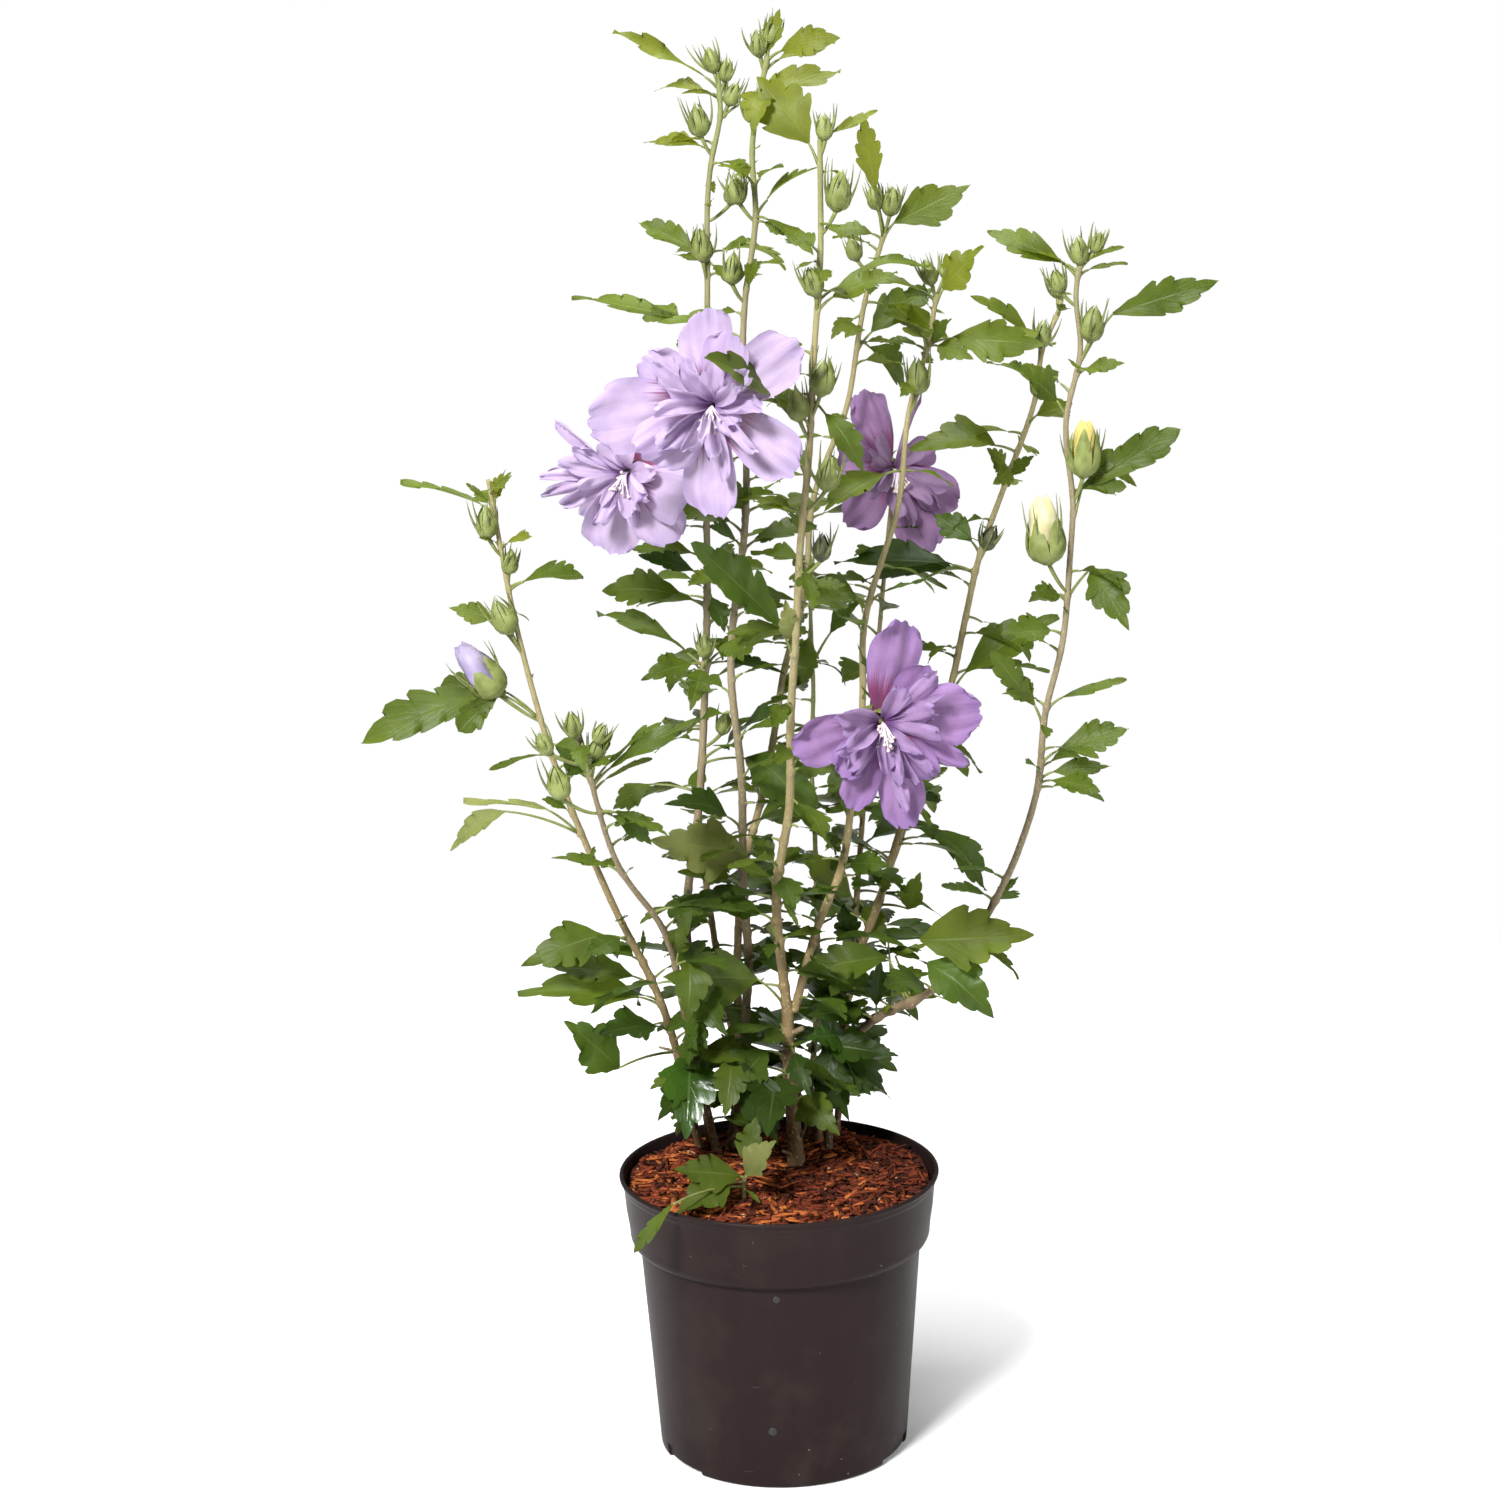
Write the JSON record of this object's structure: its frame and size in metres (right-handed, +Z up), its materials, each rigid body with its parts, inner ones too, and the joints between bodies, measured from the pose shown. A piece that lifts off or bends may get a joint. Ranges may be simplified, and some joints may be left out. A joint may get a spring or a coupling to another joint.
{
  "type": "potted hibiscus shrub",
  "caption": "Young hibiscus shrub with upright woody stems, lobed leaves, buds and open double blooms, growing in a round nursery pot topped with bark mulch.",
  "frame": {"origin": "middle of the pot's flat underside, on the surface that it stands on", "axes": "+Z up along the pot's axis, -Y towards the side from which the blooms are seen, +X to the right"},
  "size_m": [0.488, 0.3486, 0.844],
  "materials": {
    "pot_plastic": "satin",
    "bark_mulch": "matte",
    "stem_bark": "matte",
    "green_stem": "satin",
    "leaf": "satin",
    "petal": "matte"
  },
  "bodies": {
    "root": {"bark_mulch": "bark_mulch", "bloom_left_lower": "petal", "bloom_left_upper": "petal", "bloom_right_lower": "petal", "bloom_right_upper": "petal", "bloom_stalk_left": "green_stem", "bloom_stalk_right": "green_stem", "leaves_front_right_1": "leaf", "leaves_front_right_2": "leaf", "leaves_front_right_3": "leaf", "leaves_front_sprout_1": "leaf", "leaves_front_tall_1": "leaf", "leaves_front_tall_2": "leaf", "leaves_front_tall_3": "leaf", "leaves_front_tall_4": "leaf", "leaves_lean_right_1": "leaf", "leaves_lean_right_2": "leaf", "leaves_left_arch_1": "leaf", "leaves_left_arch_2": "leaf", "leaves_left_arch_3": "leaf", "leaves_left_arch_4": "leaf", "leaves_left_low_1": "leaf", "leaves_left_low_2": "leaf", "leaves_left_tall_1": "leaf", "leaves_left_tall_2": "leaf", "leaves_left_tall_3": "leaf", "leaves_rear_left_1": "leaf", "leaves_rear_right_1": "leaf", "leaves_right_arch_1": "leaf", "leaves_right_arch_2": "leaf", "leaves_right_arch_3": "leaf", "leaves_right_arch_foot_1": "leaf", "leaves_right_rear_1": "leaf", "leaves_right_rear_2": "leaf", "leaves_right_rear_3": "leaf", "leaves_right_rear_4": "leaf", "leaves_tallest_1": "leaf", "leaves_tallest_2": "leaf", "leaves_tallest_3": "leaf", "leaves_tallest_4": "leaf", "leaves_thin_middle_1": "leaf", "leaves_thin_rear_1": "leaf", "leaves_trunk_1": "leaf", "pot": "pot_plastic", "stem_front_right": "stem_bark", "stem_front_sprout": "stem_bark", "stem_front_tall": "stem_bark", "stem_lean_right": "stem_bark", "stem_left_arch": "stem_bark", "stem_left_low": "stem_bark", "stem_left_tall": "stem_bark", "stem_rear_left": "stem_bark", "stem_rear_right": "stem_bark", "stem_right_arch": "stem_bark", "stem_right_arch_foot": "stem_bark", "stem_right_rear": "stem_bark", "stem_tallest": "stem_bark", "stem_thin_middle": "stem_bark", "stem_thin_rear": "stem_bark", "trunk": "stem_bark"}
  },
  "joints": []
}
